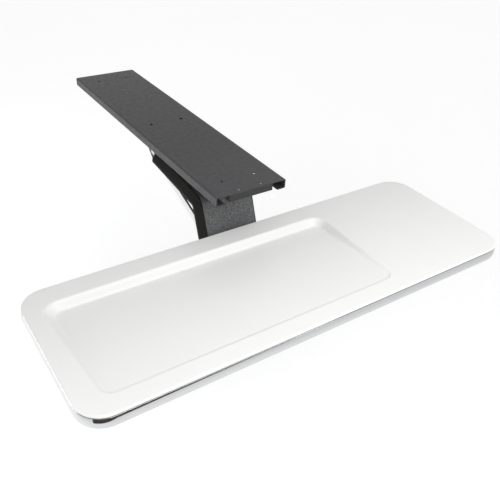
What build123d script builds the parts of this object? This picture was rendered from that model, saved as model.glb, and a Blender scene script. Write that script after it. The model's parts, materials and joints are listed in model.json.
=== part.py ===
from build123d import *
import os

# Keyboard tray that slides out from under a desk: a track screwed to the desk's underside, a carriage
# that runs in it, a swivel, a gooseneck arm with a parallel level link, a tilting bracket and the tray.
#
# Frame, in millimetres: the origin is the centre of the track's mounting face, +X is to the right of
# somebody who sits at the desk, +Y points away from them under the desk, and +Z is up.
# Side profiles are drawn on the YZ plane, so a point (y, z) there is a place along and below the desk.

os.makedirs("parts", exist_ok=True)


# ---------------------------------------------------------------- driving dimensions
# Track: a steel channel with its open side down.
track_length = 559.0
track_width = 127.0
track_height = 16.0
track_sheet = 2.0
track_lip = 15.0
track_hole_radius = 2.75
track_hole_dx = 60.0
track_hole_dy = 480.0
stop_length = 12.0
stop_width = 80.0

# Carriage and swivel.
carriage_length = 120.0
carriage_width = 114.0
carriage_sheet = 3.0
carriage_top = -6.0
glide_length = 27.0
glide_reach = 17.0
swivel_radius = 10.0
ring_radius = 34.0
bracket_top = -17.5
bracket_sheet = 3.0

# Pivots of the arm's parallelogram and of the tilting tray, as (y, z).
upper_pivot = (-24.0, -40.0)
lower_pivot = (-258.0, -128.0)
link_offset = (4.0, -22.0)
upper_link_pivot = (upper_pivot[0] + link_offset[0], upper_pivot[1] + link_offset[1])
lower_link_pivot = (lower_pivot[0] + link_offset[0], lower_pivot[1] + link_offset[1])
tilt_pivot = (-284.0, -118.0)
spring_bar_at = (16.0, -27.2)

# Layers across the width, each measured from the middle plane.
link_inner = 26.5
link_outer = 30.5
ear_inner = 31.5
ear_outer = 34.5
cheek_inner = 35.5
cheek_outer = 38.0
bush_flange = 1.0
pin_end = 35.2

# Shafts and holes.
axle_radius = 5.0
link_pin_radius = 4.0
running_gap = 0.05
open_pivot_gap = 0.3
bush_radius = 6.5
bush_flange_radius = 9.0
disc_radius = 10.5
clip_width = 1.2
clip_radius = 7.5
groove_radius = 4.0

# Gooseneck arm, drawn along the top of its steel frame.
arm_depth = 24.0
arm_sheet = 2.5
arm_bend = (-205.3, -45.0)
arm_neck_foot = (-230.5, -110.5)
arm_bend_radius = 22.0
upper_boss_radius = 13.0
lower_boss_radius = 11.0
cover_flat = 40.0
cover_half_width = 55.5
cover_wall = 2.5
cover_rise = 3.0
cover_drop = 16.0
cover_screw_radius = 2.0
cover_screw_head_radius = 3.6

# Tray: overall size with its edge band, and the keyboard bay moulded into the top. The bay's sides are
# measured from the tray's own middle, which sits a little to the left of the arm.
tray_x = -14.0
tray_width = 703.0
tray_depth = 251.0
tray_height = 20.0
tray_back = -262.0
tray_top_height = -75.0
tray_corner = 38.0
top_wall = 3.5
pan_wall = 2.5
rim_inset = 1.5
gasket_height = 1.0
band_thickness = 2.2
band_bulge = 1.6
base_thickness = 4.0
bay_left = -312.0
bay_right = 130.0
bay_front = 30.0
bay_back = 207.0
bay_depth_back = 13.0
bay_depth_front = 1.5
bay_slope_left = 14.0
bay_slope_right = 4.0
bay_slope_back = 4.0
bay_corner = 12.0

# Tray bracket and its screws.
bracket_plate_width = 200.0
bracket_plate_front = -428.0
bracket_plate_back = -269.0
bracket_screw_dx = 160.0
bracket_screw_back = -280.0
bracket_screw_front = -419.0
bracket_screw_radius = 2.5
insert_radius = 3.5
boss_radius = 7.0

# ---------------------------------------------------------------- derived places
tray_front = tray_back - tray_depth
tray_mid = tray_back - tray_depth / 2
tray_bottom = tray_top_height - tray_height
rim_bottom = tray_top_height - top_wall
gasket_bottom = rim_bottom - gasket_height
base_top = tray_bottom + base_thickness
bracket_plate_top = tray_bottom
carriage_bottom = carriage_top - carriage_sheet
bracket_bottom = bracket_top - bracket_sheet
inner_half = track_width / 2 - track_sheet
opening_half = track_width / 2 - track_lip
lip_top = track_sheet - track_height


def across(inner, outer):
    """Plane and thickness of a layer on the right of the middle plane."""
    return Plane.YZ.offset(inner), outer - inner


def tray_outline(inset):
    """Rounded outline of the tray, drawn inside the overall size by the inset."""
    with Locations((tray_x, tray_mid)):
        RectangleRounded(tray_width - 2 * inset, tray_depth - 2 * inset, tray_corner - inset)


# ---------------------------------------------------------------- track
with BuildPart() as track_rail:
    with BuildSketch(Plane.XZ) as section:
        with BuildLine():
            half = track_width / 2
            Polyline(
                (-half, 0),
                (half, 0),
                (half, -track_height),
                (opening_half, -track_height),
                (opening_half, lip_top),
                (inner_half, lip_top),
                (inner_half, -track_sheet),
                (-inner_half, -track_sheet),
                (-inner_half, lip_top),
                (-opening_half, lip_top),
                (-opening_half, -track_height),
                (-half, -track_height),
                close=True,
            )
        make_face()
        fillet(section.vertices().group_by(Axis.X)[0], radius=2.6)
        fillet(section.vertices().group_by(Axis.X)[-1], radius=2.6)
    extrude(amount=track_length / 2, both=True)
    with Locations((0, 0, 0)):
        with GridLocations(track_hole_dx, track_hole_dy / 2, 2, 3):
            Hole(radius=track_hole_radius, depth=track_sheet)
    for side in (-1, 1):
        with Locations((0, side * (track_length - stop_length) / 2, 0)):
            with GridLocations(stop_width / 2, 1, 2, 1):
                Hole(radius=1.5, depth=track_sheet)
track_rail.part.label = "track_rail"
export_step(track_rail.part, "parts/track_rail.step")

stop_bottom = lip_top + 0.5
stop_screw_head = 2.0


def make_stop(end, label):
    """Rubber bumper that closes one end of the channel: end is -1 for the user's end."""
    with BuildPart() as stop:
        with BuildSketch(Plane.XY.offset(stop_bottom)):
            with Locations((0, end * (track_length - stop_length) / 2)):
                Rectangle(stop_width, stop_length)
        extrude(amount=-track_sheet - stop_bottom)
        fillet(stop.edges().filter_by(Axis.Z), radius=2.5)
        with Locations((0, end * (track_length - stop_length) / 2, stop_bottom)):
            with GridLocations(stop_width / 2, 1, 2, 1):
                with Locations(Rotation(180, 0, 0)):
                    CounterBoreHole(radius=1.6, counter_bore_radius=3.2, counter_bore_depth=stop_screw_head)
    stop.part.label = label
    export_step(stop.part, "parts/" + label + ".step")


make_stop(-1, "track_stop_front")
make_stop(1, "track_stop_rear")

with BuildPart() as track_stop_screws:
    for end in (-1, 1):
        with BuildSketch(Plane.XY.offset(stop_bottom)):
            with Locations((0, end * (track_length - stop_length) / 2)):
                with GridLocations(stop_width / 2, 1, 2, 1):
                    Circle(3.0)
        extrude(amount=stop_screw_head)
        with BuildSketch(Plane.XY.offset(stop_bottom + stop_screw_head)):
            with Locations((0, end * (track_length - stop_length) / 2)):
                with GridLocations(stop_width / 2, 1, 2, 1):
                    Circle(1.5)
        extrude(amount=-0.4 - stop_bottom - stop_screw_head)
        with BuildSketch(Plane.XY.offset(stop_bottom)):
            with Locations((0, end * (track_length - stop_length) / 2)):
                with GridLocations(stop_width / 2, 1, 2, 1):
                    RegularPolygon(radius=1.5, side_count=6)
        extrude(amount=1.2, mode=Mode.SUBTRACT)
track_stop_screws.part.label = "track_stop_screws"
export_step(track_stop_screws.part, "parts/track_stop_screws.step")

# ---------------------------------------------------------------- carriage
glide_x = carriage_width / 2 - glide_reach + 4.0
glide_peg_radius = 3.0
glide_peg_x = carriage_width / 2 - 7.0
glide_peg_y = carriage_length / 2 - 12.0

with BuildPart() as carriage_plate:
    with BuildSketch(Plane.XY.offset(carriage_bottom)):
        RectangleRounded(carriage_width, carriage_length, 4.0)
        Circle(swivel_radius, mode=Mode.SUBTRACT)
        with GridLocations(2 * glide_peg_x, 2 * glide_peg_y, 2, 2):
            Circle(glide_peg_radius, mode=Mode.SUBTRACT)
        with GridLocations(1, 84.0, 1, 2):
            SlotCenterToCenter(44.0, 12.0, mode=Mode.SUBTRACT)
    extrude(amount=carriage_sheet)
carriage_plate.part.label = "carriage_plate"
export_step(carriage_plate.part, "parts/carriage_plate.step")


def make_glide(side_x, side_y, label):
    """Nylon shoe on one corner of the carriage plate; it runs on the track's lip."""
    outer_x = inner_half - 0.5
    inner_x = glide_x
    outer_y = carriage_length / 2 + 1.0
    inner_y = outer_y - glide_length
    top = -track_sheet - 0.3
    bottom = lip_top + 0.2
    with BuildPart() as glide:
        with BuildSketch(Plane.XY.offset(bottom)):
            with Locations((side_x * (inner_x + outer_x) / 2, side_y * (inner_y + outer_y) / 2)):
                RectangleRounded(outer_x - inner_x, glide_length, 2.0)
        extrude(amount=top - bottom)
        with BuildSketch(Plane.XY.offset(carriage_bottom)):
            RectangleRounded(carriage_width, carriage_length, 4.0)
            with Locations((side_x * glide_peg_x, side_y * glide_peg_y)):
                Circle(glide_peg_radius, mode=Mode.SUBTRACT)
        extrude(amount=carriage_sheet, mode=Mode.SUBTRACT)
        chamfer(glide.faces().sort_by(Axis.Z)[-1].edges(), length=0.8)
    glide.part.label = label
    export_step(glide.part, "parts/" + label + ".step")


for side_x, x_name in ((-1, "left"), (1, "right")):
    for side_y, y_name in ((-1, "front"), (1, "rear")):
        make_glide(side_x, side_y, "glide_" + y_name + "_" + x_name)

with BuildPart() as swivel_ring:
    with BuildSketch(Plane.XY.offset(bracket_top)):
        Circle(ring_radius)
        Circle(swivel_radius, mode=Mode.SUBTRACT)
    extrude(amount=carriage_bottom - bracket_top)
    with BuildSketch(Plane.XY.offset(bracket_top)):
        Circle(ring_radius - 7.0)
        Circle(swivel_radius + 6.0, mode=Mode.SUBTRACT)
    extrude(amount=5.0, mode=Mode.SUBTRACT)
    chamfer(swivel_ring.faces().sort_by(Axis.Z)[0].outer_wire().edges(), length=1.0)
swivel_ring.part.label = "swivel_ring"
export_step(swivel_ring.part, "parts/swivel_ring.step")

pivot_flange_radius = 16.0
pivot_flange_height = 2.5
pivot_shoulder = bracket_bottom - 0.2
stud_radius = 6.0
stud_end = -29.6
washer_radius = 17.0
washer_height = 2.0
nut_height = 6.0

with BuildPart() as swivel_pivot:
    with BuildSketch(Plane.XY.offset(carriage_top)):
        Circle(pivot_flange_radius)
    extrude(amount=pivot_flange_height)
    chamfer(swivel_pivot.faces().sort_by(Axis.Z)[-1].edges(), length=0.8)
    with BuildSketch(Plane.XY.offset(pivot_shoulder)):
        Circle(swivel_radius)
    extrude(amount=carriage_top - pivot_shoulder)
    with BuildSketch(Plane.XY.offset(stud_end)):
        Circle(stud_radius)
    extrude(amount=pivot_shoulder - stud_end)
    chamfer(swivel_pivot.faces().sort_by(Axis.Z)[0].edges(), length=1.0)
swivel_pivot.part.label = "swivel_pivot"
export_step(swivel_pivot.part, "parts/swivel_pivot.step")

with BuildPart() as swivel_washer:
    with BuildSketch(Plane.XY.offset(pivot_shoulder - washer_height)):
        Circle(washer_radius)
        Circle(stud_radius + 0.1, mode=Mode.SUBTRACT)
    extrude(amount=washer_height)
swivel_washer.part.label = "swivel_washer"
export_step(swivel_washer.part, "parts/swivel_washer.step")

with BuildPart() as swivel_nut:
    with BuildSketch(Plane.XY.offset(pivot_shoulder - washer_height - nut_height)):
        RegularPolygon(radius=10.9, side_count=6)
        Circle(stud_radius, mode=Mode.SUBTRACT)
    extrude(amount=nut_height)
swivel_nut.part.label = "swivel_nut"
export_step(swivel_nut.part, "parts/swivel_nut.step")

# ---------------------------------------------------------------- swivel head
bracket_front = -34.0
bracket_rear = 40.0
spring_bar_radius = 3.0

with BuildPart() as swivel_bracket:
    with BuildSketch(Plane.XY.offset(bracket_bottom)):
        with Locations((0, (bracket_front + bracket_rear) / 2)):
            Rectangle(2 * ear_outer, bracket_rear - bracket_front)
        Circle(swivel_radius + running_gap, mode=Mode.SUBTRACT)
    extrude(amount=bracket_sheet)
    ear_plane, ear_sheet = across(ear_inner, ear_outer)
    with BuildSketch(ear_plane):
        with BuildLine():
            CenterArc(upper_pivot, 12.0, 0, 360)
            CenterArc(upper_link_pivot, 9.0, 0, 360)
            CenterArc(spring_bar_at, 6.0, 0, 360)
            Line((bracket_front, bracket_bottom), (bracket_rear - 6.0, bracket_bottom))
        make_hull()
        with Locations(upper_pivot):
            Circle(axle_radius, mode=Mode.SUBTRACT)
        with Locations(upper_link_pivot):
            Circle(link_pin_radius, mode=Mode.SUBTRACT)
        with Locations(spring_bar_at):
            Circle(spring_bar_radius, mode=Mode.SUBTRACT)
    extrude(amount=ear_sheet)
    mirror(about=Plane.YZ)
swivel_bracket.part.label = "swivel_bracket"
export_step(swivel_bracket.part, "parts/swivel_bracket.step")


def make_axle(at, label):
    """Steel axle with a clip groove near each end."""
    groove_at = cheek_outer + bush_flange + 0.4
    with BuildPart() as axle:
        with BuildSketch(Plane.YZ):
            with Locations(at):
                Circle(axle_radius)
        extrude(amount=groove_at + clip_width + 1.4, both=True)
        chamfer(axle.edges().filter_by(GeomType.CIRCLE), length=0.6)
        groove_plane, groove_width = across(groove_at, groove_at + clip_width)
        with BuildSketch(groove_plane):
            with Locations(at):
                Circle(axle_radius)
                Circle(groove_radius, mode=Mode.SUBTRACT)
        groove = extrude(amount=groove_width, mode=Mode.SUBTRACT)
        mirror(groove, about=Plane.YZ, mode=Mode.SUBTRACT)
    axle.part.label = label
    export_step(axle.part, "parts/" + label + ".step")


def make_clips(at, label):
    """Pair of spring clips that sit in an axle's grooves."""
    groove_at = cheek_outer + bush_flange + 0.4
    clip_plane, clip_sheet = across(groove_at, groove_at + clip_width)
    with BuildPart() as clips:
        with BuildSketch(clip_plane):
            with Locations(at):
                Circle(clip_radius)
                Circle(groove_radius, mode=Mode.SUBTRACT)
            with Locations((at[0], at[1] - clip_radius)):
                Rectangle(5.0, 2 * clip_radius, mode=Mode.SUBTRACT)
        extrude(amount=clip_sheet)
        mirror(about=Plane.YZ)
    clips.part.label = label
    export_step(clips.part, "parts/" + label + ".step")


def make_pin(at, radius, half_length, label):
    """Plain steel pin with both ends set flush in the ears."""
    with BuildPart() as pin:
        with BuildSketch(Plane.YZ):
            with Locations(at):
                Circle(radius)
        extrude(amount=half_length, both=True)
        chamfer(pin.edges().filter_by(GeomType.CIRCLE), length=0.4)
    pin.part.label = label
    export_step(pin.part, "parts/" + label + ".step")


make_axle(upper_pivot, "upper_axle")
make_clips(upper_pivot, "upper_axle_clips")
make_pin(upper_link_pivot, link_pin_radius, pin_end, "upper_link_pin")
make_pin(spring_bar_at, spring_bar_radius, pin_end, "spring_bar")

# ---------------------------------------------------------------- arm
arm_start = Vector(upper_pivot[0], upper_pivot[1] + upper_boss_radius)
bend_point = Vector(*arm_bend)
foot_point = Vector(*arm_neck_foot)
shallow_dir = (bend_point - arm_start).normalized()
neck_dir = (foot_point - bend_point).normalized()
shallow_in = shallow_dir.rotate(Axis.Z, 90)
neck_in = neck_dir.rotate(Axis.Z, 90)
corner_in = (shallow_in + neck_in) * (1 / (1 + shallow_in.dot(neck_in)))
heel_bottom = lower_pivot[1] - lower_boss_radius
inner_bend = bend_point + corner_in * (arm_depth + 1.5)
heel_along = (heel_bottom - inner_bend.Y) / neck_dir.Y
heel_point = inner_bend + neck_dir * heel_along
web_rear = arm_start + shallow_dir * 25.0
web_foot = bend_point + neck_dir * ((foot_point - bend_point).length - 2.0)


def flat(point):
    """A plain (y, z) pair from a vector."""
    return (point.X, point.Y)


shallow_up = Vector(0, -shallow_in.X, -shallow_in.Y)
cover_screw_planes = []
for along in (62.0, 138.0):
    on_top = arm_start + shallow_dir * along
    for screw_x in (-22.0, 22.0):
        cover_screw_planes.append(Plane(origin=(screw_x, on_top.X, on_top.Y), x_dir=(1, 0, 0), z_dir=shallow_up))

with BuildPart() as arm_frame:
    with BuildSketch(Plane.YZ) as arm_side:
        with BuildLine():
            Polyline(
                flat(arm_start),
                flat(bend_point),
                flat(foot_point),
                (lower_pivot[0] + 2.0, lower_pivot[1] + lower_boss_radius - 0.2),
                (lower_pivot[0], heel_bottom),
                flat(heel_point),
                flat(inner_bend),
                (upper_pivot[0], upper_pivot[1] - upper_boss_radius),
                close=True,
            )
        make_face()
        corners = arm_side.vertices()
        fillet(corners.sort_by_distance(flat(bend_point))[0], radius=arm_bend_radius)
        fillet(arm_side.vertices().sort_by_distance(flat(inner_bend))[0], radius=12.0)
        fillet(arm_side.vertices().sort_by_distance(flat(heel_point))[0], radius=18.0)
        fillet(arm_side.vertices().sort_by_distance(flat(foot_point))[0], radius=3.5)
        with Locations(upper_pivot):
            Circle(upper_boss_radius)
        with Locations(lower_pivot):
            Circle(lower_boss_radius)
        with Locations(upper_pivot, lower_pivot):
            Circle(bush_radius, mode=Mode.SUBTRACT)
    extrude(amount=cheek_outer, both=True)
    with BuildSketch(Plane.YZ) as hollow:
        with BuildLine():
            Polyline(
                (60.0, 0),
                (web_rear.X, 0),
                flat(web_rear + shallow_in * arm_sheet),
                flat(bend_point + corner_in * arm_sheet),
                flat(web_foot + neck_in * arm_sheet),
                (web_foot.X - 60.0, web_foot.Y),
                (web_foot.X - 60.0, -200.0),
                (60.0, -200.0),
                close=True,
            )
        make_face()
        inside_bend = flat(bend_point + corner_in * arm_sheet)
        fillet(hollow.vertices().sort_by_distance(inside_bend)[0], radius=arm_bend_radius - arm_sheet)
    extrude(amount=cheek_inner, both=True, mode=Mode.SUBTRACT)
    for screw_plane in cover_screw_planes:
        with BuildSketch(screw_plane):
            Circle(cover_screw_radius)
        extrude(amount=-arm_sheet - 2.0, mode=Mode.SUBTRACT)
arm_frame.part.label = "arm_frame"
export_step(arm_frame.part, "parts/arm_frame.step")

cover_rear = arm_start + shallow_dir * 28.0
cover_foot = foot_point - neck_dir * 2.2
with BuildPart() as arm_cover:
    with BuildLine(Plane.YZ) as cover_path:
        FilletPolyline(flat(cover_rear), flat(bend_point), flat(cover_foot), radius=arm_bend_radius)
    cover_plane = Plane(
        origin=(0, cover_rear.X, cover_rear.Y),
        x_dir=(1, 0, 0),
        z_dir=(0, shallow_dir.X, shallow_dir.Y),
    )
    with BuildSketch(cover_plane) as cover_section:
        with BuildLine():
            edge_x = cover_half_width
            wall_x = cover_half_width - cover_wall
            Polyline(
                (-edge_x, -cover_drop),
                (-edge_x, -11.0),
                (-cover_flat, cover_rise),
                (cover_flat, cover_rise),
                (edge_x, -11.0),
                (edge_x, -cover_drop),
                (wall_x, -cover_drop),
                (wall_x, -12.0),
                (cover_flat - 1.0, 0),
                (1.0 - cover_flat, 0),
                (-wall_x, -12.0),
                (-wall_x, -cover_drop),
                close=True,
            )
        make_face()
        fillet(cover_section.vertices().sort_by_distance((cover_flat, cover_rise))[0], radius=6.0)
        fillet(cover_section.vertices().sort_by_distance((-cover_flat, cover_rise))[0], radius=6.0)
    sweep(path=cover_path.wire())
    for screw_plane in cover_screw_planes:
        with BuildSketch(screw_plane.offset(cover_rise)):
            Circle(cover_screw_radius)
        extrude(amount=-cover_rise - 1.0, mode=Mode.SUBTRACT)
arm_cover.part.label = "arm_cover"
export_step(arm_cover.part, "parts/arm_cover.step")

with BuildPart() as arm_cover_screws:
    for screw_plane in cover_screw_planes:
        with BuildSketch(screw_plane.offset(cover_rise)):
            Circle(cover_screw_head_radius)
        extrude(amount=1.6)
        with BuildSketch(screw_plane.offset(cover_rise)):
            Circle(cover_screw_radius)
        extrude(amount=-cover_rise - arm_sheet - 1.0)
        with BuildSketch(screw_plane.offset(cover_rise + 1.6)):
            RegularPolygon(radius=1.6, side_count=6)
        extrude(amount=-0.9, mode=Mode.SUBTRACT)
arm_cover_screws.part.label = "arm_cover_screws"
export_step(arm_cover_screws.part, "parts/arm_cover_screws.step")

with BuildPart() as arm_bushes:
    for layer, bush_outer in (
        (across(cheek_inner, cheek_outer), bush_radius),
        (across(cheek_outer, cheek_outer + bush_flange), bush_flange_radius),
    ):
        with BuildSketch(layer[0]):
            with Locations(upper_pivot, lower_pivot):
                Circle(bush_outer)
                Circle(axle_radius + running_gap, mode=Mode.SUBTRACT)
        extrude(amount=layer[1])
    mirror(about=Plane.YZ)
arm_bushes.part.label = "arm_bushes"
export_step(arm_bushes.part, "parts/arm_bushes.step")


def make_discs(centres, label):
    """Friction discs that fill the gap between an ear and the cheek outside it."""
    disc_plane, disc_sheet = across(ear_outer, cheek_inner)
    with BuildPart() as discs:
        with BuildSketch(disc_plane):
            with Locations(*centres):
                Circle(disc_radius)
                Circle(axle_radius + 0.2, mode=Mode.SUBTRACT)
        extrude(amount=disc_sheet)
        mirror(about=Plane.YZ)
    discs.part.label = label
    export_step(discs.part, "parts/" + label + ".step")


make_discs([upper_pivot, lower_pivot], "friction_discs")

# Lift springs: torsion coils round the upper axle. The long leg bears on the underside of the arm;
# the short leg is the stub of the one that bears on the spring bar.
spring_wire_radius = 1.3
spring_coil_radius = 8.6
spring_pitch = 3.0
spring_turns = 4
spring_leg_turn = 6.2
spring_inner_x = 6.5
spring_long_leg = 36.0
spring_short_leg = 5.0

with BuildPart() as lift_spring_right:
    with BuildLine() as spring_path:
        coil = Helix(
            pitch=spring_pitch,
            height=spring_pitch * (spring_turns + spring_leg_turn / 360),
            radius=spring_coil_radius,
            center=(spring_inner_x, *upper_pivot),
            direction=(1, 0, 0),
        )
        Line(coil @ 0 - (coil % 0) * spring_short_leg, coil @ 0)
        Line(coil @ 1, coil @ 1 + (coil % 1) * spring_long_leg)
    with BuildSketch(Plane(origin=spring_path.wire() @ 0, z_dir=spring_path.wire() % 0)):
        Circle(spring_wire_radius)
    sweep(path=spring_path.wire())
lift_spring_right.part.label = "lift_spring_right"
export_step(lift_spring_right.part, "parts/lift_spring_right.step")

with BuildPart() as lift_spring_left:
    add(lift_spring_right.part.mirror(Plane.YZ))
lift_spring_left.part.label = "lift_spring_left"
export_step(lift_spring_left.part, "parts/lift_spring_left.step")

# ---------------------------------------------------------------- level link
link_half_height = 7.0
link_eye_radius = 8.5
link_vector = Vector(*lower_link_pivot) - Vector(*upper_link_pivot)
link_angle = link_vector.get_signed_angle(Vector(1, 0), Vector(0, 0, -1))


def make_link_plate(side, label):
    """Steel side plate of the level link; side is +1 for the right."""
    link_plane, link_sheet = across(link_inner, link_outer)
    middle = (Vector(*upper_link_pivot) + Vector(*lower_link_pivot)) * 0.5
    with BuildPart() as plate:
        with BuildSketch(link_plane):
            with Locations(Location((middle.X, middle.Y), link_angle)):
                Rectangle(link_vector.length, 2 * link_half_height)
            with Locations(upper_link_pivot, lower_link_pivot):
                Circle(link_eye_radius)
            with Locations(upper_link_pivot):
                Circle(link_pin_radius + running_gap, mode=Mode.SUBTRACT)
            with Locations(lower_link_pivot):
                Circle(link_pin_radius + open_pivot_gap, mode=Mode.SUBTRACT)
        extrude(amount=link_sheet)
    made = plate.part if side > 0 else plate.part.mirror(Plane.YZ)
    made.label = label
    export_step(made, "parts/" + label + ".step")


def make_link_spacer(at, gap, label):
    """Tube that ties the two plates together round one pin."""
    with BuildPart() as spacer:
        with BuildSketch(Plane.YZ):
            with Locations(at):
                Circle(6.5)
                Circle(link_pin_radius + gap, mode=Mode.SUBTRACT)
        extrude(amount=link_inner, both=True)
    spacer.part.label = label
    export_step(spacer.part, "parts/" + label + ".step")


make_link_plate(-1, "level_link_left")
make_link_plate(1, "level_link_right")
make_link_spacer(upper_link_pivot, running_gap, "link_spacer_upper")
make_link_spacer(lower_link_pivot, open_pivot_gap, "link_spacer_lower")

# ---------------------------------------------------------------- knuckle
knuckle_lobe = 9.0
knuckle_web_sheet = 3.0
knuckle_web_inset = 1.0
knuckle_web_width = 28.0
knuckle_front_edge = (Vector(*lower_link_pivot) - Vector(*tilt_pivot)).normalized()
knuckle_front_out = knuckle_front_edge.rotate(Axis.Z, -90)

with BuildPart() as knuckle:
    ear_plane, ear_sheet = across(ear_inner, ear_outer)
    with BuildSketch(ear_plane):
        with BuildLine():
            CenterArc(lower_pivot, 10.0, 0, 360)
            CenterArc(lower_link_pivot, knuckle_lobe, 0, 360)
            CenterArc(tilt_pivot, knuckle_lobe, 0, 360)
        make_hull()
        with Locations(lower_pivot, tilt_pivot):
            Circle(axle_radius, mode=Mode.SUBTRACT)
        with Locations(lower_link_pivot):
            Circle(link_pin_radius, mode=Mode.SUBTRACT)
    extrude(amount=ear_sheet)
    mirror(about=Plane.YZ)
    web_start = Vector(*tilt_pivot) + knuckle_front_out * (knuckle_lobe - knuckle_web_inset)
    web_end = web_start + knuckle_front_edge * knuckle_web_width
    with BuildSketch(Plane.YZ):
        with BuildLine():
            Polyline(
                flat(web_start),
                flat(web_end),
                flat(web_end - knuckle_front_out * knuckle_web_sheet),
                flat(web_start - knuckle_front_out * knuckle_web_sheet),
                close=True,
            )
        make_face()
    extrude(amount=ear_inner, both=True)
knuckle.part.label = "knuckle"
export_step(knuckle.part, "parts/knuckle.step")

make_axle(lower_pivot, "lower_axle")
make_clips(lower_pivot, "lower_axle_clips")
make_pin(lower_link_pivot, link_pin_radius, pin_end, "lower_link_pin")

# ---------------------------------------------------------------- tilt axle and knob
tilt_ear_outer = 38.5
tilt_washer_sheet = 1.0
tilt_head_radius = 9.0
tilt_head_height = 5.0
tilt_axle_end = 53.5
knob_start = 40.0
knob_hub_radius = 10.0
knob_hub_length = 5.0
knob_radius = 15.0
knob_length = 17.0
knob_lobes = 6
knob_insert_radius = 8.0

with BuildPart() as tilt_axle:
    head_start = -(tilt_ear_outer + tilt_washer_sheet)
    with BuildSketch(Plane.YZ.offset(head_start)):
        with Locations(tilt_pivot):
            Circle(axle_radius)
    extrude(amount=tilt_axle_end - head_start)
    chamfer(tilt_axle.edges().filter_by(GeomType.CIRCLE).sort_by(Axis.X)[-1], length=0.8)
    with BuildSketch(Plane.YZ.offset(head_start)):
        with Locations(tilt_pivot):
            RegularPolygon(radius=tilt_head_radius, side_count=6)
    extrude(amount=-tilt_head_height)
tilt_axle.part.label = "tilt_axle"
export_step(tilt_axle.part, "parts/tilt_axle.step")

with BuildPart() as tilt_washers:
    for washer_start in (tilt_ear_outer, -tilt_ear_outer - tilt_washer_sheet):
        with BuildSketch(Plane.YZ.offset(washer_start)):
            with Locations(tilt_pivot):
                Circle(9.5)
                Circle(axle_radius + 0.1, mode=Mode.SUBTRACT)
        extrude(amount=tilt_washer_sheet)
tilt_washers.part.label = "tilt_washers"
export_step(tilt_washers.part, "parts/tilt_washers.step")

make_discs([tilt_pivot], "tilt_discs")

with BuildPart() as tilt_knob:
    with BuildSketch(Plane.YZ.offset(knob_start)):
        with Locations(tilt_pivot):
            Circle(knob_hub_radius)
    extrude(amount=knob_hub_length)
    with BuildSketch(Plane.YZ.offset(knob_start + knob_hub_length)):
        with Locations(tilt_pivot):
            Circle(knob_radius - 2.5)
            with PolarLocations(knob_radius - 5.0, knob_lobes):
                Circle(5.0)
    extrude(amount=knob_length - knob_hub_length)
    fillet(tilt_knob.faces().sort_by(Axis.X)[-1].edges(), radius=2.0)
    with BuildSketch(Plane.YZ.offset(knob_start)):
        with Locations(tilt_pivot):
            Circle(knob_insert_radius)
    extrude(amount=knob_length - 3.0, mode=Mode.SUBTRACT)
tilt_knob.part.label = "tilt_knob"
export_step(tilt_knob.part, "parts/tilt_knob.step")

with BuildPart() as knob_insert:
    with BuildSketch(Plane.YZ.offset(knob_start)):
        with Locations(tilt_pivot):
            Circle(knob_insert_radius)
            Circle(axle_radius + running_gap, mode=Mode.SUBTRACT)
    extrude(amount=knob_length - 4.0)
knob_insert.part.label = "knob_insert"
export_step(knob_insert.part, "parts/knob_insert.step")

# ---------------------------------------------------------------- tray bracket
bracket_screw_rows = (bracket_screw_back, bracket_screw_front)
bracket_screw_points = [
    (side * bracket_screw_dx / 2, row) for row in bracket_screw_rows for side in (-1, 1)
]
plate_sheet = 3.0
side_lip = 7.0

with BuildPart() as tray_bracket:
    plate_mid = (bracket_plate_front + bracket_plate_back) / 2
    plate_length = bracket_plate_back - bracket_plate_front
    with BuildSketch(Plane.XY.offset(bracket_plate_top)):
        with Locations((0, plate_mid)):
            RectangleRounded(bracket_plate_width, plate_length, 8.0)
        with Locations(*bracket_screw_points):
            Circle(bracket_screw_radius + 0.25, mode=Mode.SUBTRACT)
    extrude(amount=-plate_sheet)
    for side in (-1, 1):
        with BuildSketch(Plane.XY.offset(bracket_plate_top - plate_sheet)):
            with Locations((side * (bracket_plate_width - plate_sheet) / 2, plate_mid)):
                Rectangle(plate_sheet, plate_length - 16.0)
        extrude(amount=-side_lip)
    ear_plane, ear_sheet = across(cheek_inner, tilt_ear_outer)
    with BuildSketch(ear_plane):
        with BuildLine():
            CenterArc(tilt_pivot, knuckle_lobe, 0, 360)
            Line(
                (bracket_plate_back - 3.0, bracket_plate_top - plate_sheet),
                (bracket_plate_back - 40.0, bracket_plate_top - plate_sheet),
            )
        make_hull()
        with Locations(tilt_pivot):
            Circle(axle_radius + running_gap, mode=Mode.SUBTRACT)
    tilt_ear = extrude(amount=ear_sheet)
    mirror(tilt_ear, about=Plane.YZ)
tray_bracket.part.label = "tray_bracket"
export_step(tray_bracket.part, "parts/tray_bracket.step")

bracket_screw_head = 2.6
insert_length = 7.0

with BuildPart() as bracket_screws:
    with BuildSketch(Plane.XY.offset(bracket_plate_top - plate_sheet)):
        with Locations(*bracket_screw_points):
            Circle(4.6)
    extrude(amount=-bracket_screw_head)
    fillet(bracket_screws.faces().group_by(Axis.Z)[0].edges(), radius=1.2)
    with BuildSketch(Plane.XY.offset(bracket_plate_top - plate_sheet)):
        with Locations(*bracket_screw_points):
            Circle(bracket_screw_radius)
    extrude(amount=plate_sheet + base_thickness + insert_length - 0.5)
    with BuildSketch(Plane.XY.offset(bracket_plate_top - plate_sheet - bracket_screw_head)):
        with Locations(*bracket_screw_points):
            RegularPolygon(radius=1.9, side_count=6)
    extrude(amount=1.5, mode=Mode.SUBTRACT)
bracket_screws.part.label = "bracket_screws"
export_step(bracket_screws.part, "parts/bracket_screws.step")

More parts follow.
